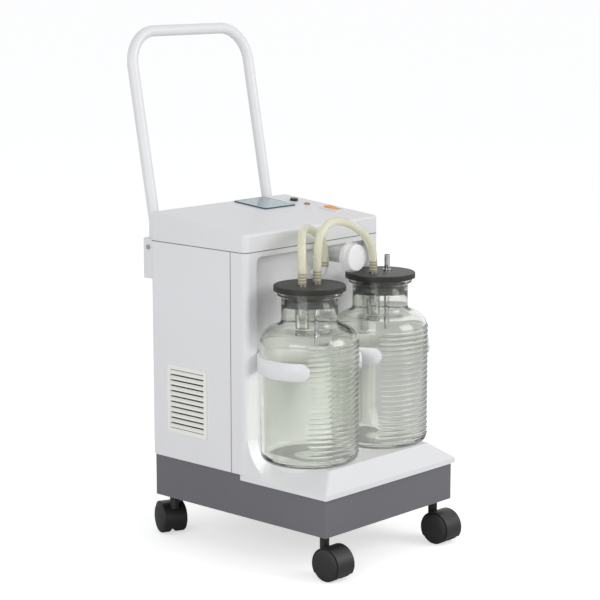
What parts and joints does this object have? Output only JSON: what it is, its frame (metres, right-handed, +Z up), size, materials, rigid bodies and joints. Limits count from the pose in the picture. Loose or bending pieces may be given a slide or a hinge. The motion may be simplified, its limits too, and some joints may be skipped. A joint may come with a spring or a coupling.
{
  "type": "vacuum aspirator",
  "caption": "Mobile vacuum aspirator: pump cabinet on castors with a push handle, glass collection jars with rubber stoppers, hoses, regulator knob and gauge panel.",
  "frame": {"origin": "centre of the bounding box on the floor", "axes": "+Z up, -Y towards the front with the jars, +X to the object's right seen from the front"},
  "size_m": [0.2936, 0.4256, 0.734],
  "materials": {
    "grey_paint": "satin powder coat",
    "zinc_steel": "zinc plated",
    "white_plastic": "satin moulded plastic",
    "white_paint": "satin white enamel",
    "vent_plastic": "matte moulded plastic",
    "black_nylon": "matte moulded nylon",
    "wheel_rubber": "matte",
    "black_plastic": "matte",
    "dial_white": "matte",
    "blue_window": "clear tinted",
    "needle_black": "matte",
    "lamp_red": "gloss lens",
    "rocker_orange": "gloss",
    "jar_glass": "clear soda glass",
    "black_rubber": "matte",
    "chrome_steel": "polished",
    "hose_silicone": "translucent silicone",
    "valve_brass": "satin brass",
    "float_white": "matte",
    "motor_alloy": "cast"
  },
  "bodies": {
    "cabinet": {"base_chassis": "grey_paint", "bracket_screws": "zinc_steel", "cabinet_shell": "white_paint", "castor_sockets": "zinc_steel", "deck_plate": "zinc_steel", "float_cage_left": "black_plastic", "float_cage_right": "black_plastic", "front_moulding": "white_plastic", "fuse_holder": "black_plastic", "gauge_case": "black_plastic", "gauge_dial": "dial_white", "gauge_window": "blue_window", "handle": "white_paint", "handle_brackets": "white_plastic", "indicator_lamp": "lamp_red", "inlet_pins": "zinc_steel", "inlet_pipe_left": "chrome_steel", "inlet_pipe_right": "chrome_steel", "jar_holder_left": "white_paint", "jar_holder_right": "white_paint", "jar_left": "jar_glass", "jar_right": "jar_glass", "link_hose": "hose_silicone", "mains_inlet": "black_plastic", "outlet_pipe_left": "chrome_steel", "outlet_pipe_right": "chrome_steel", "pump_head_left": "motor_alloy", "pump_head_right": "motor_alloy", "pump_hose": "hose_silicone", "pump_motor": "motor_alloy", "pump_plate": "zinc_steel", "pump_port": "chrome_steel", "rubber_mounts": "black_rubber", "stopper_left": "black_rubber", "stopper_right": "black_rubber", "switch_frame": "black_plastic", "top_cover": "white_plastic", "valve_body": "valve_brass", "vent_grille": "vent_plastic"},
    "swivel_front_left": {"castor_hood_front_left": "black_nylon"},
    "wheel_front_left_a": {"castor_wheel_front_left_a": "wheel_rubber"},
    "wheel_front_left_b": {"castor_wheel_front_left_b": "wheel_rubber"},
    "swivel_front_right": {"castor_hood_front_right": "black_nylon"},
    "wheel_front_right_a": {"castor_wheel_front_right_a": "wheel_rubber"},
    "wheel_front_right_b": {"castor_wheel_front_right_b": "wheel_rubber"},
    "swivel_rear_left": {"castor_hood_rear_left": "black_nylon"},
    "wheel_rear_left_a": {"castor_wheel_rear_left_a": "wheel_rubber"},
    "wheel_rear_left_b": {"castor_wheel_rear_left_b": "wheel_rubber"},
    "swivel_rear_right": {"castor_hood_rear_right": "black_nylon"},
    "wheel_rear_right_a": {"castor_wheel_rear_right_a": "wheel_rubber"},
    "wheel_rear_right_b": {"castor_wheel_rear_right_b": "wheel_rubber"},
    "knob": {"regulator_knob": "white_plastic"},
    "rocker": {"power_rocker": "rocker_orange"},
    "needle": {"gauge_needle": "needle_black"},
    "fan": {"motor_fan": "black_plastic"},
    "float_left_body": {"float_left": "float_white"},
    "float_right_body": {"float_right": "float_white"}
  },
  "joints": [
    {"name": "front_left_swivel", "type": "hinge", "parent": "cabinet", "child": "swivel_front_left", "pos_m": [-0.117, -0.17238, 0.0225], "axis": [0, 0, 1], "continuous": true},
    {"name": "front_left_wheel_a_roll", "type": "hinge", "parent": "swivel_front_left", "child": "wheel_front_left_a", "pos_m": [-0.12755, -0.18838, 0.0225], "axis": [1, 0, 0], "continuous": true},
    {"name": "front_left_wheel_b_roll", "type": "hinge", "parent": "swivel_front_left", "child": "wheel_front_left_b", "pos_m": [-0.10645, -0.18838, 0.0225], "axis": [1, 0, 0], "continuous": true},
    {"name": "front_right_swivel", "type": "hinge", "parent": "cabinet", "child": "swivel_front_right", "pos_m": [0.117, -0.17238, 0.0225], "axis": [0, 0, 1], "continuous": true},
    {"name": "front_right_wheel_a_roll", "type": "hinge", "parent": "swivel_front_right", "child": "wheel_front_right_a", "pos_m": [0.10645, -0.18838, 0.0225], "axis": [1, 0, 0], "continuous": true},
    {"name": "front_right_wheel_b_roll", "type": "hinge", "parent": "swivel_front_right", "child": "wheel_front_right_b", "pos_m": [0.12755, -0.18838, 0.0225], "axis": [1, 0, 0], "continuous": true},
    {"name": "rear_left_swivel", "type": "hinge", "parent": "cabinet", "child": "swivel_rear_left", "pos_m": [-0.117, 0.12162, 0.0225], "axis": [0, 0, 1], "continuous": true},
    {"name": "rear_left_wheel_a_roll", "type": "hinge", "parent": "swivel_rear_left", "child": "wheel_rear_left_a", "pos_m": [-0.10085, 0.13195, 0.0225], "axis": [-0.9135, 0.4067, 0], "continuous": true},
    {"name": "rear_left_wheel_b_roll", "type": "hinge", "parent": "swivel_rear_left", "child": "wheel_rear_left_b", "pos_m": [-0.12013, 0.14053, 0.0225], "axis": [-0.9135, 0.4067, 0], "continuous": true},
    {"name": "rear_right_swivel", "type": "hinge", "parent": "cabinet", "child": "swivel_rear_right", "pos_m": [0.117, 0.12162, 0.0225], "axis": [0, 0, 1], "continuous": true},
    {"name": "rear_right_wheel_a_roll", "type": "hinge", "parent": "swivel_rear_right", "child": "wheel_rear_right_a", "pos_m": [0.12305, 0.13981, 0.0225], "axis": [-0.9659, -0.2588, 0], "continuous": true},
    {"name": "rear_right_wheel_b_roll", "type": "hinge", "parent": "swivel_rear_right", "child": "wheel_rear_right_b", "pos_m": [0.10267, 0.13435, 0.0225], "axis": [-0.9659, -0.2588, 0], "continuous": true},
    {"name": "regulator_turn", "type": "hinge", "parent": "cabinet", "child": "knob", "pos_m": [0.033, -0.08338, 0.4145], "axis": [0, -1, 0], "range_deg": [-360, 360]},
    {"name": "power_rock", "type": "hinge", "parent": "cabinet", "child": "rocker", "pos_m": [0.1135, 0.01909, 0.46533], "axis": [1, 0, 0], "range_deg": [-16, 0]},
    {"name": "needle_turn", "type": "hinge", "parent": "cabinet", "child": "needle", "pos_m": [0.053, 0.10092, 0.45947], "axis": [0, -0.0874, 0.9962], "range_deg": [-90, 0]},
    {"name": "fan_spin", "type": "hinge", "parent": "cabinet", "child": "fan", "pos_m": [0, 0.06262, 0.1818], "axis": [1, 0, 0], "continuous": true},
    {"name": "float_left_rise", "type": "slide", "parent": "cabinet", "child": "float_left_body", "axis": [0, 0, 1], "range_m": [0, 0.012]},
    {"name": "float_right_rise", "type": "slide", "parent": "cabinet", "child": "float_right_body", "axis": [0, 0, 1], "range_m": [0, 0.012]}
  ]
}
